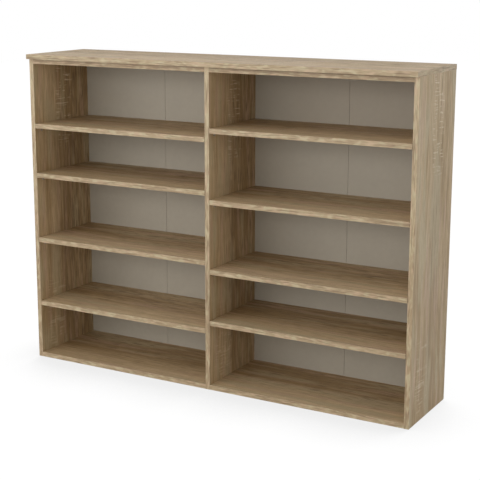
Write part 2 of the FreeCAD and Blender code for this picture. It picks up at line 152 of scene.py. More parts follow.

# Lacquer of the back, and a painted shade on it behind the top of the right bay.
LACQUER_LIGHT = (0.392, 0.353, 0.284)
LACQUER_DARK = (0.365, 0.328, 0.263)
RIGHT_BAY_TOP_SHADE = (0.88, 0.85, 0.82)
RIGHT_BAY_SHADE_FROM_MIDDLE = (0.03, 0.25)
RIGHT_BAY_SHADE_SOFTNESS = 0.01

# Threads of the cloth tape, as an angle for each metre, and the range in which wipes are read.
THREADS = 7000.0
WIPES = (0.3, 0.7)

# Staples through the back into the rear edges of the boards, one leaf at a time.
STAPLE_CROWN = 0.0106
STAPLE_WIRE = 0.0012
STAPLE_THICK = 0.0006
STAPLE_LEG = 0.0135
STAPLE_POINT = 0.0015
STAPLE_POINT_SHARE = 0.15
STAPLE_PROUD = 0.00015
STAPLE_EDGE = 0.00016
STAPLE_ROWS_UP = 6
STAPLES_ALONG_BOARD = 2
STAPLE_FROM_CORNER = 0.045
STAPLE_FROM_FOLD = 0.075

# Countersunk screws up through the carcass tops into the top board.
SCREW_HEAD = 0.004
SCREW_HEAD_HEIGHT = 0.0014
SCREW_HEAD_SIDES = 28
SCREW_HEAD_TAPER = 0.55
SCREW_RIM_SHARE = 0.12
SCREW_PROUD = 0.0003
SCREW_CROSS_WIDTH = 0.0008
SCREW_CROSS_ARM = 0.0014
SCREW_CROSS_DEPTH = 0.0009
SCREW_CROSS_TAPER = 0.6
SCREW_FROM_END = 0.11
SCREW_FROM_EDGE = 0.06
SCREW_TURN = 0.7
SMOOTH_ANGLE = math.radians(35)

# An edge counts as sharp from this angle, a face as turned one way from this share, and a corner as on
# the outline of the screw from this share of its radius.
STAPLE_SHARP = 1.0
SCREW_SHARP = 0.5
TURNED = 0.9
ON_OUTLINE = 0.98

UPRIGHTS = ("left_side", "right_side", "middle_partition")
BAYS = ("left", "right")
COUNT = (1, 2, 3, 4)
SHELVES = [f"shelf_{bay}_{number}" for bay in BAYS for number in COUNT]
SUPPORTS = [f"supports_{bay}_{number}" for bay in BAYS for number in COUNT]
CARCASS_TOPS = [f"carcass_top_{bay}" for bay in BAYS]
BOTTOM_BOARDS = [f"bottom_board_{bay}" for bay in BAYS]


# --- building node trees -------------------------------------------------------------------------

def add(tree, kind, inputs=None, **settings):
    """A shader node. An input that is given a socket is linked to it, any other is set."""
    made = tree.nodes.new("ShaderNode" + kind)
    for name, setting in settings.items():
        setattr(made, name, setting)
    for name, given in (inputs or {}).items():
        join(tree, made.inputs[name], given)
    return made


def join(tree, target, given):
    """Links a socket to an input, or sets the input to a plain value."""
    if isinstance(given, bpy.types.NodeSocket):
        tree.links.new(given, target)
    else:
        target.default_value = given


def calc(tree, operation, first, second=0.0, third=0.0, clamp=False):
    made = add(tree, "Math", {0: first, 1: second, 2: third}, operation=operation, use_clamp=clamp)
    return made.outputs[0]


def remap(tree, number, low, high, to_low=0.0, to_high=1.0):
    """A number taken smoothly from one range to another, and held at its ends."""
    made = add(tree, "MapRange", {"Value": number, "From Min": low, "From Max": high,
                                  "To Min": to_low, "To Max": to_high},
               interpolation_type="SMOOTHSTEP")
    return made.outputs["Result"]


def solid(colour):
    return (*colour, 1.0)


def mix(tree, share, first, second, how="MIX"):
    """Two colours mixed; a plain colour may be given as three numbers."""
    first, second = (solid(c) if isinstance(c, tuple) else c for c in (first, second))
    made = add(tree, "Mix", {0: share, 6: first, 7: second}, data_type="RGBA", blend_type=how)
    return made.outputs[2]


def either(tree, share, first, second):
    """Two numbers mixed: the first where the share is 0, the second where it is 1."""
    return add(tree, "Mix", {0: share, 2: first, 3: second}).outputs[0]


def stretch(tree, place, along, across, through):
    """The place vector times a frequency in each direction."""
    made = add(tree, "VectorMath", {0: place, 1: (along, across, through)}, operation="MULTIPLY")
    return made.outputs[0]


def split(tree, vector):
    """The X, Y and Z of a vector."""
    return add(tree, "SeparateXYZ", {0: vector}).outputs


def noise(tree, place, scale=1.0, detail=2.0, roughness=0.5):
    made = add(tree, "TexNoise", {"Vector": place, "Scale": scale, "Detail": detail,
                                  "Roughness": roughness})
    return made.outputs["Fac"]


def bump(tree, height, strength, depth):
    made = add(tree, "Bump", {"Height": height, "Strength": strength, "Distance": depth})
    return made.outputs["Normal"]


def reorder(tree, place, order):
    """The place vector with its axes in another order, such as ZYX for a grain that runs up."""
    parts = split(tree, place)
    made = add(tree, "CombineXYZ", {at: parts[axis] for at, axis in zip("XYZ", order)})
    return made.outputs[0]


def group(name, inputs, outputs):
    """An empty node group with its sockets; returns the group, its input node and its output node."""
    made = bpy.data.node_groups.new(name, "ShaderNodeTree")
    kinds = {"vector": "NodeSocketVector", "number": "NodeSocketFloat", "colour": "NodeSocketColor"}
    for socket, kind in inputs:
        made.interface.new_socket(socket, in_out="INPUT", socket_type=kinds[kind])
    for socket, kind in outputs:
        made.interface.new_socket(socket, in_out="OUTPUT", socket_type=kinds[kind])
    return made, made.nodes.new("NodeGroupInput").outputs, made.nodes.new("NodeGroupOutput").inputs


def use(tree, node_group, inputs):
    return add(tree, "Group", inputs, node_tree=node_group).outputs


def new_material(name):
    """A material with an empty tree, its object coordinates and its shader."""
    made = bpy.data.materials.new(name)
    made.use_nodes = True
    tree = made.node_tree
    tree.nodes.clear()
    shader = add(tree, "BsdfPrincipled")
    out = add(tree, "OutputMaterial")
    tree.links.new(shader.outputs[0], out.inputs["Surface"])
    return made, tree, add(tree, "TexCoord").outputs, shader.inputs


def connect(tree, inputs, **sockets):
    """Links sockets to a shader's inputs, or sets plain values, by their names with underscores."""
    for name, given in sockets.items():
        join(tree, inputs[name.replace("_", " ")], given)


# --- effects that several finishes share ---------------------------------------------------------

def oak_group():
    """Oak decor on a place vector whose X runs along the grain: colour, pores and fibres."""
    tree, given, out = group("oak_figure", [
        ("Place", "vector"), ("Along", "number"), ("Across", "number"), ("Light", "colour"),
        ("Dark", "colour"), ("Blush", "colour"), ("Moss", "colour"), ("Pore", "colour"),
        ("Contrast", "number"), ("Streaks", "number"), ("Tone", "number")],
        [("Color", "colour"), ("Pores", "number"), ("Fibre", "number")])
    place = given["Place"]
    sway = noise(tree, stretch(tree, place, 1.3, 5.0, 3.0))
    offset = add(tree, "CombineXYZ", {"Y": calc(tree, "MULTIPLY_ADD", sway, GRAIN_SWAY, -GRAIN_SWAY / 2)})
    grain = add(tree, "VectorMath", {0: place, 1: offset.outputs[0]}).outputs[0]
    axes = split(tree, grain)
    flames = add(tree, "CombineXYZ", {
        "X": calc(tree, "MULTIPLY", axes["X"], given["Along"]),
        "Y": calc(tree, "MULTIPLY", axes["Y"], given["Across"]),
        "Z": calc(tree, "MULTIPLY", axes["Z"], 3.0)}).outputs[0]
    figure = noise(tree, flames, detail=4.0, roughness=0.62)
    broad = noise(tree, stretch(tree, flames, 0.35, 0.16, 1.0), detail=1.0)
    tint = noise(tree, stretch(tree, flames, 0.6, 0.3, 2.0), scale=1.3, detail=1.0)
    moss = noise(tree, stretch(tree, flames, 0.9, 0.25, 4.0), scale=0.9, detail=1.0)
    fibre = noise(tree, stretch(tree, grain, *FIBRES_PER_METRE), detail=1.0)
    dash = noise(tree, stretch(tree, grain, *PORES_PER_METRE), detail=0.0)
    pores = remap(tree, dash, 0.62, 0.74)
    streak = remap(tree, noise(tree, stretch(tree, grain, *STREAKS_PER_METRE), detail=2.0), 0.5, 0.66)
    blend = calc(tree, "MULTIPLY_ADD", figure, 0.55, calc(tree, "MULTIPLY", broad, 0.3))
    blend = calc(tree, "MULTIPLY_ADD", fibre, 0.15, blend)
    tone = calc(tree, "ADD", given["Tone"], 0.5)
    about_middle = calc(tree, "SUBTRACT", blend, 0.5)
    share = calc(tree, "MULTIPLY_ADD", about_middle, given["Contrast"], tone, clamp=True)
    colour = mix(tree, share, given["Dark"], given["Light"])
    colour = mix(tree, remap(tree, tint, 0.48, 0.68, 0.0, TINTS_SHOW), colour, given["Blush"])
    colour = mix(tree, remap(tree, moss, 0.5, 0.68, 0.0, TINTS_SHOW), colour, given["Moss"])
    colour = mix(tree, calc(tree, "MULTIPLY", streak, given["Streaks"]), colour, given["Pore"])
    colour = mix(tree, calc(tree, "MULTIPLY", pores, PORES_SHOW), colour, given["Pore"])
    tree.links.new(colour, out["Color"])
    tree.links.new(pores, out["Pores"])
    tree.links.new(fibre, out["Fibre"])
    return tree


def sawn_group():
    """Marks of a coarse saw: short fine rungs across the grain, where the patch lets them show."""
    tree, given, out = group("sawn_marks", [("Place", "vector"), ("Patch", "number")],
                             [("Marks", "number")])
    place = given["Place"]
    lean = noise(tree, stretch(tree, place, 9.0, 14.0, 2.0), detail=1.0)
    axes = split(tree, place)
    slant = calc(tree, "MULTIPLY_ADD", axes["Y"], SAW_LEAN, axes["X"])
    slant = calc(tree, "MULTIPLY_ADD", lean, SAW_WANDER, slant)
    strokes = add(tree, "CombineXYZ", {
        "X": calc(tree, "MULTIPLY", slant, SAW_STROKES_ALONG),
        "Y": calc(tree, "MULTIPLY", axes["Y"], SAW_STROKES_ACROSS)}).outputs[0]
    stroke = remap(tree, noise(tree, strokes, detail=1.0), 0.5, 0.62)
    broken = remap(tree, noise(tree, stretch(tree, place, 24.0, 34.0, 3.0), detail=2.0), 0.44, 0.58)
    marks = calc(tree, "MULTIPLY", calc(tree, "MULTIPLY", stroke, broken), given["Patch"], clamp=True)
    tree.links.new(marks, out["Marks"])
    return tree


def chipboard_group():
    """Pressed wood chips, as on a cut edge or in a bore."""
    dark_chip, light_chip, gap = (0.30, 0.19, 0.10), (0.56, 0.42, 0.27), (0.12, 0.075, 0.04)
    tree, given, out = group("chipboard_core", [("Place", "vector")],
                             [("Color", "colour"), ("Chips", "number")])
    chips = add(tree, "TexVoronoi", {"Vector": given["Place"], "Scale": 620.0, "Randomness": 1.0})
    grey = add(tree, "SeparateColor", {0: chips.outputs["Color"]}).outputs[0]
    void = remap(tree, noise(tree, given["Place"], scale=900.0, detail=1.0), 0.62, 0.72)
    colour = mix(tree, grey, dark_chip, light_chip)
    colour = mix(tree, void, colour, gap)
    tree.links.new(colour, out["Color"])
    tree.links.new(calc(tree, "SUBTRACT", grey, void), out["Chips"])
    return tree


def worn_edge_group():
    """Where a band is rounded over, its print is rubbed: a number read from the surface's own slope."""
    tree, given, out = group("worn_edges", [("Slope", "vector"), ("Place", "vector")],
                             [("Worn", "number")])
    slope = add(tree, "VectorMath", {0: given["Slope"]}, operation="ABSOLUTE").outputs[0]
    parts = split(tree, slope)
    squarest = calc(tree, "MAXIMUM", calc(tree, "MAXIMUM", parts["X"], parts["Y"]), parts["Z"])
    rounded = remap(tree, squarest, 0.995, 0.93)
    rubbed = remap(tree, noise(tree, given["Place"], scale=40.0, detail=3.0), 0.35, 0.65, 0.35, 1.0)
    tree.links.new(calc(tree, "MULTIPLY", rounded, rubbed), out["Worn"])
    return tree


def handling_group():
    """Faint wipes and finger marks: a number about 0.5 that wanders over the surface."""
    tree, given, out = group("handling", [("Place", "vector")], [("Wipes", "number")])
    cloudy = noise(tree, given["Place"], scale=6.0, detail=3.0)
    fine = noise(tree, given["Place"], scale=55.0, detail=2.0)
    wipes = calc(tree, "MULTIPLY_ADD", fine, 0.35, calc(tree, "MULTIPLY", cloudy, 0.65))
    tree.links.new(wipes, out["Wipes"])
    return tree


OAK = oak_group()
SAWN = sawn_group()
CHIPBOARD = chipboard_group()
HANDLING = handling_group()
WORN_EDGES = worn_edge_group()


# --- finishes of the boards ----------------------------------------------------------------------

def oak_decor(tree, place, colours, **inputs):
    """The oak decor in one of its two sets of colours."""
    paints = {name: solid(colour) for name, colour in colours.items()}
    return use(tree, OAK, {"Place": place, "Pore": solid(PORE_COLOUR), **paints, **inputs})


def grain_relief(tree, oak):
    """The decor's sunken pores and raised fibres, as a height."""
    fibres = calc(tree, "MULTIPLY", oak["Fibre"], FIBRE_RELIEF)
    return calc(tree, "MULTIPLY_ADD", oak["Pores"], PORE_RELIEF, fibres)


def soft_spot(tree, place, along, across, strength, ragged):
    """A soft spot on the grain's own plane: its strength at the middle, and 0 past its ragged edge."""
    axes = split(tree, place)
    rough_line = noise(tree, stretch(tree, place, 14.0, 30.0, 1.0))
    sway = calc(tree, "MULTIPLY_ADD", rough_line, ragged, -ragged / 2)
    spot = strength
    for axis, (middle, reach) in (("X", along), ("Y", across)):
        away = calc(tree, "ABSOLUTE", calc(tree, "SUBTRACT", axes[axis], middle))
        away = calc(tree, "ADD", away, sway)
        spot = calc(tree, "MULTIPLY", remap(tree, away, reach * 0.55, reach, 1.0, 0.0), spot)
    return spot


def set_out(spots, start, front):
    """Spots moved to a board whose grain is measured from start, and whose front edge is at front."""
    return [((along + start, along_reach), (across + front, across_reach), strength)
            for (along, along_reach), (across, across_reach), strength in spots]


def outer_face(tree, axes):
    """1 on the outer faces of the two sides."""
    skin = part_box("right_side")[1].x - SKIN
    return calc(tree, "GREATER_THAN", calc(tree, "ABSOLUTE", axes["X"]), skin)


def low_bays(tree, axes):
    """In each of the lower bays the strength of its painted shade, and 0 elsewhere."""
    share = 0.0
    for floor_board, roof_board, strength in LOW_BAYS:
        low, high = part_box(floor_board)[1].z - LOW_BAY_SILL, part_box(roof_board)[0].z
        inside = calc(tree, "MULTIPLY", calc(tree, "GREATER_THAN", axes["Z"], low),
                      calc(tree, "LESS_THAN", axes["Z"], high))
        its_side = "LESS_THAN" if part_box(roof_board)[0].x < 0 else "GREATER_THAN"
        inside = calc(tree, "MULTIPLY", calc(tree, its_side, axes["X"], 0.0), inside)
        share = calc(tree, "MULTIPLY_ADD", inside, strength, share)
    return share


def across_bay(tree, axes):
    """0 at the left upright of each bay and 1 at its right one."""
    bay_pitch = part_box("right_side")[0].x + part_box("middle_partition")[1].x
    return calc(tree, "FRACT", calc(tree, "MULTIPLY_ADD", axes["X"], 1.0 / bay_pitch, 1.0))


def board_finish(name, order, face_axis, depths, tones, flames, contrast, saw_marks=(), veins=(),
                 left_shade_tone=0.0):
    """Oak decor on a board's two faces, and bare chipboard on its cut edges and in its bores.

    The order of the axes turns the grain, and the face axis is square to the faces. Between the two
    depths the streaks grow and the tone goes from the first to the second: lighter at the front and
    darker towards the back, as painted light and shade. Boards in the lower bays get a painted shade,
    and towards the left end of a bay a painted shade by the left shade tone; the outer faces get
    painted light by height. Veins are spots darkened by the colour of the pores.
    """
    made, tree, coordinates, shader = new_material(name)
    place = reorder(tree, coordinates["Object"], order)
    axes = split(tree, coordinates["Object"])
    outside = outer_face(tree, axes)
    calmed = calc(tree, "MULTIPLY_ADD", outside, -OUTER_CALM, 1.0)
    # Streaks and contrast grow towards the back, partly decor and partly painted shade; the tone by depth is
    # painted light at the front and painted shade at the back, weaker on the outer faces.
    growth = calc(tree, "MULTIPLY", remap(tree, axes["Y"], *depths), calmed)
    tone = calc(tree, "MULTIPLY", remap(tree, axes["Y"], *depths, *tones), calmed)
    # Painted shade on the boards inside the lower bays.
    low_bay = calc(tree, "MULTIPLY", low_bays(tree, axes), calc(tree, "SUBTRACT", 1.0, outside))
    tone = calc(tree, "MULTIPLY_ADD", low_bay, LOW_BAY_SHADE, tone)
    # Painted shade towards the left end of each bay, as cast by its left upright.
    if left_shade_tone:
        tone = calc(tree, "ADD", tone, remap(tree, across_bay(tree, axes), 0.1, 0.65, left_shade_tone, 0.0))
    # Painted light on the outer faces: darker at the foot and lighter towards the top.
    light_up_the_side = remap(tree, axes["Z"], *OUTER_HEIGHTS, *OUTER_LIGHT_TONES)
    tone = calc(tree, "ADD", tone, calc(tree, "MULTIPLY", light_up_the_side, outside))
    oak = oak_decor(tree, place, FACE_COLOURS, Along=flames, Across=FLAMES_ACROSS, Tone=tone,
                    Contrast=calc(tree, "MULTIPLY_ADD", growth, CONTRAST_GROWTH, contrast),
                    Streaks=calc(tree, "MULTIPLY_ADD", growth, STREAKS_GROWTH, STREAKS_IN_FRONT))
    sawn = 0.0
    for along, across, strength in saw_marks:
        spot = soft_spot(tree, place, along, across, strength, SAW_MARKS_RAGGED)
        sawn = calc(tree, "MAXIMUM", spot, sawn)
    marks = use(tree, SAWN, {"Place": place, "Patch": sawn})["Marks"]
    decor = mix(tree, calc(tree, "MULTIPLY", marks, SAW_MARKS_SHOW), oak["Color"], SAWN_COLOUR)
    # A cooler painted light on the outer faces.
    decor = mix(tree, outside, decor, OUTER_COOL_LIGHT, "MULTIPLY")
    for along, across, strength in veins:
        vein = soft_spot(tree, place, along, across, strength, VEINS_RAGGED)
        decor = mix(tree, vein, decor, PORE_COLOUR)
    core = use(tree, CHIPBOARD, {"Place": coordinates["Object"]})
    wipes = use(tree, HANDLING, {"Place": place})["Wipes"]
    facing = calc(tree, "ABSOLUTE", split(tree, coordinates["Normal"])[face_axis])
    is_face = calc(tree, "GREATER_THAN", facing, SQUARE_ON)
    relief = calc(tree, "MULTIPLY_ADD", marks, SAW_RELIEF, grain_relief(tree, oak))
    height = either(tree, is_face, core["Chips"], relief)
    sheen = calc(tree, "MULTIPLY_ADD", oak["Pores"], 0.12, remap(tree, wipes, *WIPES, 0.54, 0.64))
    connect(tree, shader, Base_Color=mix(tree, is_face, core["Color"], decor),
            Roughness=either(tree, is_face, 0.9, sheen), Normal=bump(tree, height, 0.35, 0.0003),
            Specular_IOR_Level=0.5)
    return made


def band_finish(name, order, tones=(0.0, 0.0), nook_shade=0.0):
    """A glued edge band: the same decor, lighter and with shorter flames.

    Its tone goes from the first at the foot of the unit to the second at its top, a painted light that
    is weaker towards the floor where the two differ. The nook_shade is how much of the painted shade
    colour it takes where it is close under another board.
    """
    made, tree, coordinates, shader = new_material(name)
    place = reorder(tree, coordinates["Object"], order)
    height = split(tree, coordinates["Object"])["Z"]
    oak = oak_decor(tree, place, BAND_COLOURS, Along=BAND_FLAMES, Across=BAND_FLAMES_ACROSS,
                    Contrast=BAND_CONTRAST, Streaks=BAND_STREAKS,
                    Tone=remap(tree, height, 0.0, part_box("top_board")[1].z, *tones))
    wipes = use(tree, HANDLING, {"Place": place})["Wipes"]
    worn = use(tree, WORN_EDGES, {"Slope": coordinates["Normal"], "Place": coordinates["Object"]})["Worn"]
    colour = mix(tree, calc(tree, "MULTIPLY", worn, RUBBED_SHOW), oak["Color"], RUBBED_COLOUR)
    if nook_shade:
        # Painted shade where the band is close under another board, read from occlusion.
        openness = add(tree, "AmbientOcclusion", {"Distance": NOOK_SHADE_REACH}, samples=8).outputs["AO"]
        colour = mix(tree, remap(tree, openness, 0.9, 0.45, 0.0, nook_shade), colour, NOOK_SHADE_COLOUR)
    rough = calc(tree, "MULTIPLY_ADD", worn, -0.12, remap(tree, wipes, *WIPES, 0.42, 0.54))
    connect(tree, shader, Base_Color=colour, Roughness=rough,
            Normal=bump(tree, grain_relief(tree, oak), 0.3, 0.0002), Specular_IOR_Level=0.5)
    return made


def back_finish():
    """Thin fibreboard: grey lacquer in front and on its edges, bare and brown behind."""
    dark_felt, light_felt = (0.19, 0.115, 0.062), (0.36, 0.235, 0.135)
    made, tree, coordinates, shader = new_material("lacquered_fibreboard")
    place = coordinates["Object"]
    wipes = use(tree, HANDLING, {"Place": place})["Wipes"]
    peel = noise(tree, place, scale=420.0, detail=2.0)
    lacquer = mix(tree, remap(tree, wipes, *WIPES), LACQUER_DARK, LACQUER_LIGHT)
    axes = split(tree, place)
    shelf_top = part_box("shelf_right_4")[1].z
    # Painted shade on the lacquer behind the top of the right bay, from the partition outwards and up from
    # its top shelf.
    right_bay_top_shade = calc(tree, "MULTIPLY", remap(tree, axes["X"], *RIGHT_BAY_SHADE_FROM_MIDDLE),
                  remap(tree, axes["Z"], shelf_top - RIGHT_BAY_SHADE_SOFTNESS, shelf_top))
    lacquer = mix(tree, right_bay_top_shade, lacquer, RIGHT_BAY_TOP_SHADE, "MULTIPLY")
    felt = noise(tree, stretch(tree, place, 260.0, 260.0, 190.0), detail=4.0, roughness=0.7)
    bare = mix(tree, felt, dark_felt, light_felt)
    is_bare = calc(tree, "GREATER_THAN", split(tree, coordinates["Normal"])["Y"], 0.5)
    rough = either(tree, is_bare, remap(tree, wipes, *WIPES, 0.5, 0.6), 0.85)
    connect(tree, shader, Base_Color=mix(tree, is_bare, lacquer, bare), Roughness=rough,
            Normal=bump(tree, either(tree, is_bare, peel, felt), 0.2, 0.0002), Specular_IOR_Level=0.5)
    return made


def tape_finish():
    """Cloth tape over the folds of the back, with its crossed threads."""
    under, over, soiled = (0.60, 0.56, 0.48), (0.74, 0.70, 0.62), (0.50, 0.43, 0.34)
    made, tree, coordinates, shader = new_material("cloth_tape")
    axes = split(tree, coordinates["Object"])
    warp = calc(tree, "SINE", calc(tree, "MULTIPLY", axes["X"], THREADS))
    weft = calc(tree, "SINE", calc(tree, "MULTIPLY", axes["Z"], THREADS))
    weave = calc(tree, "MULTIPLY_ADD", calc(tree, "MULTIPLY", warp, weft), 0.5, 0.5)
    soil = noise(tree, coordinates["Object"], scale=18.0, detail=3.0)
    colour = mix(tree, weave, under, over)
    colour = mix(tree, remap(tree, soil, 0.5, 0.8, 0.0, 0.4), colour, soiled)
    connect(tree, shader, Base_Color=colour, Roughness=0.85, Normal=bump(tree, weave, 0.4, 0.0001))
    return made


# --- finishes of the fittings --------------------------------------------------------------------

def metal_finish(name, bright, dull, roughness, dents):
    """Plated or cast metal: blotches of its two tones, and fine dents."""
    made, tree, coordinates, shader = new_material(name)
    place = coordinates["Object"]
    blotch = noise(tree, place, scale=240.0, detail=3.0, roughness=0.6)
    grit = noise(tree, place, scale=2600.0, detail=2.0)
    connect(tree, shader, Base_Color=mix(tree, blotch, dull, bright), Metallic=1.0,
            Roughness=remap(tree, blotch, 0.3, 0.7, *roughness), Normal=bump(tree, grit, dents, 0.00005))
    return made


def beech_finish():
    """Raw beech with its short dark flecks."""
    dark, light, fleck_colour = (0.50, 0.33, 0.20), (0.66, 0.48, 0.32), (0.36, 0.21, 0.12)
    made, tree, coordinates, shader = new_material("raw_beech")
    place = coordinates["Object"]
    grain = noise(tree, stretch(tree, place, 30.0, 900.0, 900.0), detail=2.0)
    fleck = remap(tree, noise(tree, stretch(tree, place, 300.0, 2400.0, 2400.0)), 0.62, 0.72)
    colour = mix(tree, grain, dark, light)
    colour = mix(tree, calc(tree, "MULTIPLY", fleck, 0.5), colour, fleck_colour)
    connect(tree, shader, Base_Color=colour, Roughness=remap(tree, grain, 0.3, 0.7, 0.6, 0.75),
            Normal=bump(tree, grain, 0.3, 0.0001))
    return made


def glide_finish():
    """Moulded dark plastic, greyed by scuffs where it slides."""
    clean, scuffed = (0.045, 0.038, 0.032), (0.16, 0.15, 0.14)
    made, tree, coordinates, shader = new_material("glide_plastic")
    place = coordinates["Object"]
    spark = noise(tree, place, scale=1800.0, detail=1.0)
    scuffs = remap(tree, noise(tree, stretch(tree, place, 220.0, 900.0, 60.0), detail=3.0), 0.52, 0.7)
    colour = mix(tree, calc(tree, "MULTIPLY", scuffs, 0.5), clean, scuffed)
    connect(tree, shader, Base_Color=colour, Roughness=remap(tree, scuffs, 0.0, 1.0, 0.45, 0.7),
            Normal=bump(tree, spark, 0.25, 0.0001))
    return made


def finish_with(finish, names):
    """Gives CAD nodes their finish through their own material slots."""
    for name in names:
        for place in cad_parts[name].material_slots:
            place.link = "OBJECT"
            place.material = finish


def bands(names):
    return [name + "_band" for name in names]


def finish_boards():
    front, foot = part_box("right_side")[0].y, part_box("right_side")[0].z
    # The tones by depth paint the boards lighter at the front and darker at the back, as light and shade.
    upright = board_finish(
        "oak_decor_upright", "ZYX", "X", depths=(front + 0.10, front + 0.20), tones=(0.02, -0.38),
        flames=UPRIGHT_FLAMES, contrast=UPRIGHT_CONTRAST,
        saw_marks=set_out(UPRIGHT_SAW_MARKS, foot, front), veins=set_out(UPRIGHT_VEINS, foot, front))
    top = board_finish(
        "oak_decor_top", "XYZ", "Z", depths=(front, front + 0.25), tones=(0.36, -0.03),
        flames=TOP_FLAMES, contrast=TOP_CONTRAST,
        saw_marks=set_out(TOP_SAW_MARKS, 0.0, front), veins=set_out(TOP_VEINS, 0.0, front))
    shelf = board_finish(
        "oak_decor_flat", "XYZ", "Z", depths=(front + 0.02, front + 0.25), tones=(0.54, -0.27),
        flames=FLAT_FLAMES, contrast=FLAT_CONTRAST, left_shade_tone=-0.24)
    fixed = board_finish(
        "oak_decor_fixed", "XYZ", "Z", depths=(front + 0.02, front + 0.25), tones=(0.46, -0.42),
        flames=FLAT_FLAMES, contrast=FLAT_CONTRAST, left_shade_tone=-0.2)
    finish_with(upright, UPRIGHTS)
    finish_with(top, ["top_board"])
    finish_with(shelf, SHELVES)
    finish_with(fixed, CARCASS_TOPS + BOTTOM_BOARDS)
    finish_with(back_finish(), [f"back_leaf_{number}" for number in COUNT])
    finish_with(tape_finish(), ["back_fold_tape_left", "back_fold_tape_right"])


def finish_bands():
    # Where a band's two tones differ, they paint light that is weaker towards the floor.
    finish_with(band_finish("oak_band_upright", "ZXY", tones=(-0.56, 0.12)), bands(UPRIGHTS))
    finish_with(band_finish("oak_band_long", "XZY", tones=(-0.37, -0.28)), bands(SHELVES + BOTTOM_BOARDS))
    finish_with(band_finish("oak_band_top", "XZY", tones=(-0.18, -0.18)), ["top_band_front", "top_band_back"])
    finish_with(band_finish("oak_band_end", "YZX"), ["top_band_left", "top_band_right"])
    for bay, board in zip(BAYS, CARCASS_TOPS):
        # The bands under the top board are painted dark all over, as the shadow of its overhang, and take a
        # painted shade close under it.
        under_top = band_finish(f"oak_band_under_top_{bay}", "XZY", tones=(-0.66, -0.66),
                                nook_shade=NOOK_SHADE_STRENGTHS[bay])
        finish_with(under_top, bands([board]))


def finish_fittings():
    """The finishes of the fittings; returns the steel, which the small fasteners also have."""
    nickel = metal_finish("plated_nickel", bright=(0.66, 0.62, 0.57), dull=(0.52, 0.48, 0.43),
                          roughness=(0.22, 0.4), dents=0.15)
    zinc = metal_finish("cast_zinc", bright=(0.58, 0.58, 0.59), dull=(0.42, 0.42, 0.44),
                        roughness=(0.38, 0.6), dents=0.4)
    steel = metal_finish("zinc_plated_steel", bright=(0.62, 0.60, 0.56), dull=(0.46, 0.45, 0.44),
                         roughness=(0.25, 0.45), dents=0.2)
    finish_with(nickel, SUPPORTS)
    finish_with(zinc, ["cam_locks"])
    finish_with(steel, ["cam_bolts", "double_cam_bolts"])
    finish_with(beech_finish(), ["dowels", "partition_dowels"])
    finish_with(glide_finish(), ["floor_glides"])
    return steel


# --- small fasteners -----------------------------------------------------------------------------

def select_only(*pieces):
    """Selects these pieces and nothing else, and makes the first of them the active one."""
    bpy.ops.object.select_all(action="DESELECT")
    for piece in pieces:
        piece.select_set(True)
    bpy.context.view_layer.objects.active = pieces[0]


def pick(kind, wanted):
    """In edit mode, selects the faces or edges that the chooser wants, and nothing else."""
    mesh = bpy.context.object.data
    shape = bmesh.from_edit_mesh(mesh)
    bpy.ops.mesh.select_all(action="DESELECT")
    for form in getattr(shape, kind):
        form.select_set(wanted(form))
    bmesh.update_edit_mesh(mesh)


def is_sharp(edge, angle):
    return len(edge.link_faces) == 2 and edge.calc_face_angle() > angle


def pull(move):
    """Extrudes the selected faces by a move."""
    bpy.ops.mesh.extrude_region_move(TRANSFORM_OT_translate={"value": move})


def box_start(name, size, middle):
    """A box to start a piece from, left in edit mode."""
    bpy.ops.object.select_all(action="DESELECT")
    bpy.ops.mesh.primitive_cube_add(size=1.0, location=middle)
    piece = bpy.context.object
    piece.name = name
    piece.scale = size
    bpy.ops.object.transform_apply(location=True, rotation=True, scale=True)
    bpy.ops.object.mode_set(mode="EDIT")
    return piece


def copy_to(master, name, place, turn):
    """A copy of a master with its own mesh, turned and moved, with its place in its mesh."""
    select_only(master)
    bpy.ops.object.duplicate(linked=False)
    piece = bpy.context.object
    piece.name = name
    piece.rotation_euler = turn
    piece.location = place
    bpy.ops.object.transform_apply(location=True, rotation=True, scale=True)
    return piece


def joined(name, pieces):
    select_only(*pieces)
    bpy.ops.object.join()
    whole = bpy.context.object
    whole.name = name
    return whole


def drop(piece):
    bpy.ops.object.select_all(action="DESELECT")
    piece.select_set(True)
    bpy.ops.object.delete()


def evenly(start, end, count):
    return [start + (end - start) * step / (count - 1) for step in range(count)]


def staple_master():
    """A wire staple on the XZ plane: its crown lies along X, and its pointed legs run to -Y."""
    leg_middle = STAPLE_CROWN / 2 - STAPLE_WIRE / 2
    leg_inside = leg_middle - STAPLE_WIRE / 2
    staple = box_start("staple", (STAPLE_CROWN, STAPLE_THICK, STAPLE_WIRE), (0.0, -STAPLE_THICK / 2, 0.0))
    for side in (-1, 1):
        bpy.ops.mesh.select_all(action="SELECT")
        bpy.ops.mesh.bisect(plane_co=(side * leg_inside, 0, 0), plane_no=(1, 0, 0))
    for side in (-1, 1):
        pick("faces", lambda face: face.normal.y < -TURNED
             and face.calc_center_median().x * side > leg_inside)
        pull((0, STAPLE_POINT - STAPLE_LEG, 0))
        pull((0, -STAPLE_POINT, 0))
        bpy.ops.transform.resize(value=(STAPLE_POINT_SHARE, 1.0, 1.0),
                                 center_override=(side * leg_middle, 0, 0))
    pick("edges", lambda edge: is_sharp(edge, STAPLE_SHARP)
         and all(corner.co.y > -STAPLE_THICK / 2 for corner in edge.verts))
    bpy.ops.mesh.bevel(offset=STAPLE_EDGE, segments=2)
    bpy.ops.object.mode_set(mode="OBJECT")
    return staple


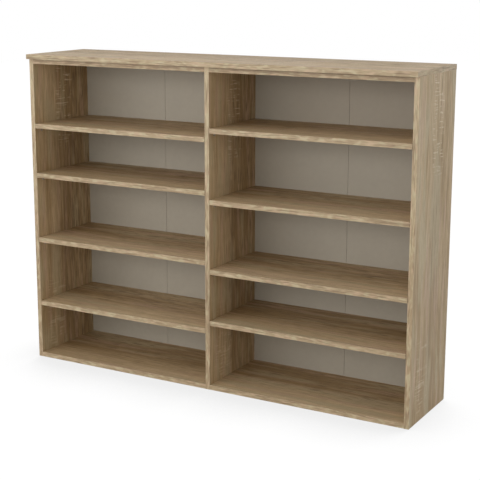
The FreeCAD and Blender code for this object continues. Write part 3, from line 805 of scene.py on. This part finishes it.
def staple_back(finish):
    """Staples along the side or partition edge of each leaf, and along the fixed boards behind it."""
    master = staple_master()
    master.data.materials.append(finish)
    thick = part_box("top_board")[1].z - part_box("top_board")[0].z
    low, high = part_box("middle_partition")
    levels = (low.z + thick / 2, high.z - thick / 2)
    side_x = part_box("right_side")[1].x - thick / 2
    for number, upright_x in zip(COUNT, (-side_x, -thick / 4, thick / 4, side_x)):
        leaf_low, leaf_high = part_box(f"back_leaf_{number}")
        rear = leaf_high.y + STAPLE_PROUD
        up_the_edge = evenly(levels[0] + STAPLE_FROM_CORNER, levels[1] - STAPLE_FROM_CORNER, STAPLE_ROWS_UP)
        spots = [(upright_x, z, math.pi / 2) for z in up_the_edge]
        fold_x = leaf_low.x if upright_x > (leaf_low.x + leaf_high.x) / 2 else leaf_high.x
        inset = math.copysign(STAPLE_FROM_FOLD, fold_x - upright_x)
        board_x = evenly(upright_x + inset, fold_x - inset, STAPLES_ALONG_BOARD)
        spots += [(x, z, 0.0) for x in board_x for z in levels]
        copies = [copy_to(master, "staple", (x, rear, z), (0.0, turn, 0.0)) for x, z, turn in spots]
        staples = joined(f"back_staples_{number}", copies)
        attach(staples, "carcass")
    drop(master)


def cross_cutter():
    """A tapered cross about the origin, with its arms along X and Y."""
    cutter = box_start("cross_cutter", (SCREW_CROSS_WIDTH, SCREW_CROSS_WIDTH, 2 * SCREW_CROSS_DEPTH),
                       (0, 0, 0))
    for way in ((1, 0, 0), (-1, 0, 0), (0, 1, 0), (0, -1, 0)):
        pick("faces", lambda face: face.normal.dot(Vector(way)) > TURNED
             and face.calc_center_median().length < SCREW_CROSS_WIDTH)
        pull(Vector(way) * SCREW_CROSS_ARM)
    pick("faces", lambda face: face.normal.z > TURNED)
    bpy.ops.transform.resize(value=(SCREW_CROSS_TAPER, SCREW_CROSS_TAPER, 1.0),
                             center_override=(0, 0, SCREW_CROSS_DEPTH))
    bpy.ops.object.mode_set(mode="OBJECT")
    return cutter


def screw_master():
    """A countersunk screw head seen from below, with its cross recess; z = 0 is its lower face."""
    bpy.ops.object.select_all(action="DESELECT")
    bpy.ops.mesh.primitive_cylinder_add(vertices=SCREW_HEAD_SIDES, radius=SCREW_HEAD, depth=SCREW_HEAD_HEIGHT,
                                        location=(0.0, 0.0, SCREW_HEAD_HEIGHT / 2))
    head = bpy.context.object
    head.name = "screw_head"
    bpy.ops.object.transform_apply(location=True, rotation=True, scale=True)
    bpy.ops.object.mode_set(mode="EDIT")
    pick("faces", lambda face: face.normal.z > TURNED)
    bpy.ops.transform.resize(value=(SCREW_HEAD_TAPER, SCREW_HEAD_TAPER, 1.0),
                             center_override=(0, 0, SCREW_HEAD_HEIGHT))
    pick("faces", lambda face: face.normal.z < -TURNED)
    bpy.ops.mesh.inset(thickness=SCREW_HEAD * SCREW_RIM_SHARE)
    bpy.ops.transform.translate(value=(0, 0, -SCREW_PROUD / 3))
    pick("edges", lambda edge: is_sharp(edge, SCREW_SHARP)
         and all(corner.co.xy.length > SCREW_HEAD * ON_OUTLINE for corner in edge.verts))
    bpy.ops.mesh.bevel(offset=SCREW_PROUD / 3, segments=2)
    bpy.ops.object.mode_set(mode="OBJECT")
    cutter = cross_cutter()
    select_only(head)
    recess = head.modifiers.new("cross_recess", "BOOLEAN")
    recess.object = cutter
    recess.operation = "DIFFERENCE"
    bpy.ops.object.modifier_apply(modifier=recess.name)
    drop(cutter)
    select_only(head)
    bpy.ops.object.shade_smooth_by_angle(angle=SMOOTH_ANGLE)
    return head


def screw_top_on(finish):
    """Four screws through each carcass top."""
    master = screw_master()
    master.data.materials.append(finish)
    for bay in BAYS:
        low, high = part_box(f"carcass_top_{bay}")
        band_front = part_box(f"carcass_top_{bay}_band")[0].y
        spots = [(x, y) for x in (low.x + SCREW_FROM_END, high.x - SCREW_FROM_END)
                 for y in (band_front + SCREW_FROM_EDGE, high.y - SCREW_FROM_EDGE)]
        for number, (x, y) in enumerate(spots, 1):
            head = copy_to(master, f"top_screw_{bay}_{number}", (x, y, low.z - SCREW_PROUD),
                           (0.0, 0.0, SCREW_TURN * number))
            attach(head, "carcass")
    drop(master)


# --- studio --------------------------------------------------------------------------------------

def seen_directly(tree):
    """1 for rays that show the surroundings themselves: from the camera, a mirror or glass."""
    path = add(tree, "LightPath").outputs
    glossy = calc(tree, "MAXIMUM", path["Is Glossy Ray"], path["Is Transmission Ray"])
    return calc(tree, "MAXIMUM", path["Is Camera Ray"], glossy)


def make_sky():
    world = bpy.data.worlds.new("studio_sky")
    world.use_nodes = True
    tree = world.node_tree
    tree.nodes.clear()
    up = split(tree, add(tree, "TexCoord").outputs["Generated"])["Z"]
    colour = mix(tree, remap(tree, up, *SKY_RISE), SKY_LOW, SKY_HIGH)
    colour = mix(tree, seen_directly(tree), colour, (1.0, 1.0, 1.0))
    sky = add(tree, "Background", {"Color": colour, "Strength": 1.0})
    out = add(tree, "OutputWorld")
    tree.links.new(sky.outputs[0], out.inputs["Surface"])
    bpy.context.scene.world = world


def make_floor():
    bpy.ops.object.select_all(action="DESELECT")
    bpy.ops.mesh.primitive_circle_add(vertices=FLOOR_SIDES, radius=FLOOR_RADIUS, fill_type="NGON",
                                      location=(0, 0, 0))
    floor = bpy.context.object
    floor.name = "studio_floor"
    made, tree, coordinates, shader = new_material("pale_floor")
    shown = seen_directly(tree)
    mottle = noise(tree, coordinates["Object"], scale=3.0, detail=2.0)
    shade = mix(tree, calc(tree, "MULTIPLY", mottle, FLOOR_MOTTLE), FLOOR_SHADE, (1.0, 1.0, 1.0))
    outwards = stretch(tree, coordinates["Object"], CONTACT_SPREAD, 0.0, 0.0)
    lean = add(tree, "VectorMath", {0: outwards, 1: CONTACT_LEAN}).outputs[0]
    clear = add(tree, "AmbientOcclusion", {"Distance": CONTACT_REACH, "Normal": lean}, samples=8)
    lift = remap(tree, clear.outputs["AO"], 0.5, 1.0, FLOOR_LIFT * (1.0 - CONTACT_SHADE), FLOOR_LIFT)
    connect(tree, shader, Base_Color=mix(tree, shown, FLOOR_BOUNCE, shade), Roughness=1.0,
            Specular_IOR_Level=0.0, Emission_Color=(1.0, 1.0, 1.0, 1.0),
            Emission_Strength=calc(tree, "MULTIPLY", shown, lift))
    floor.data.materials.append(made)


def make_lamp():
    lamp = bpy.data.lights.new("front_left_softbox", "AREA")
    lamp.shape = "RECTANGLE"
    lamp.size = LAMP_WIDTH
    lamp.size_y = LAMP_HEIGHT
    lamp.energy = LAMP_POWER
    holder = bpy.data.objects.new("front_left_softbox", lamp)
    holder.location = LAMP_PLACE
    holder.rotation_euler = (Vector(LAMP_AIM) - Vector(LAMP_PLACE)).to_track_quat("-Z", "Y").to_euler()
    bpy.context.scene.collection.objects.link(holder)


def make_camera():
    lens = bpy.data.cameras.new("camera")
    lens.sensor_width = SENSOR_WIDTH
    lens.lens = FOCAL_PIXELS * SENSOR_WIDTH / PICTURE_WIDTH
    middle = PICTURE_WIDTH / 2
    lens.shift_x = (middle - LENS_AXIS_PIXEL[0]) / PICTURE_WIDTH
    lens.shift_y = (LENS_AXIS_PIXEL[1] - middle) / PICTURE_WIDTH
    camera = bpy.data.objects.new("camera", lens)
    camera.location = CAMERA_PLACE
    camera.rotation_euler = (math.pi / 2 - CAMERA_DOWN, 0.0, CAMERA_TURN)
    bpy.context.scene.collection.objects.link(camera)
    bpy.context.scene.camera = camera


finish_boards()
finish_bands()
steel = finish_fittings()
staple_back(steel)
screw_top_on(steel)
make_sky()
make_floor()
make_lamp()
make_camera()
bpy.context.scene.view_settings.view_transform = "Standard"
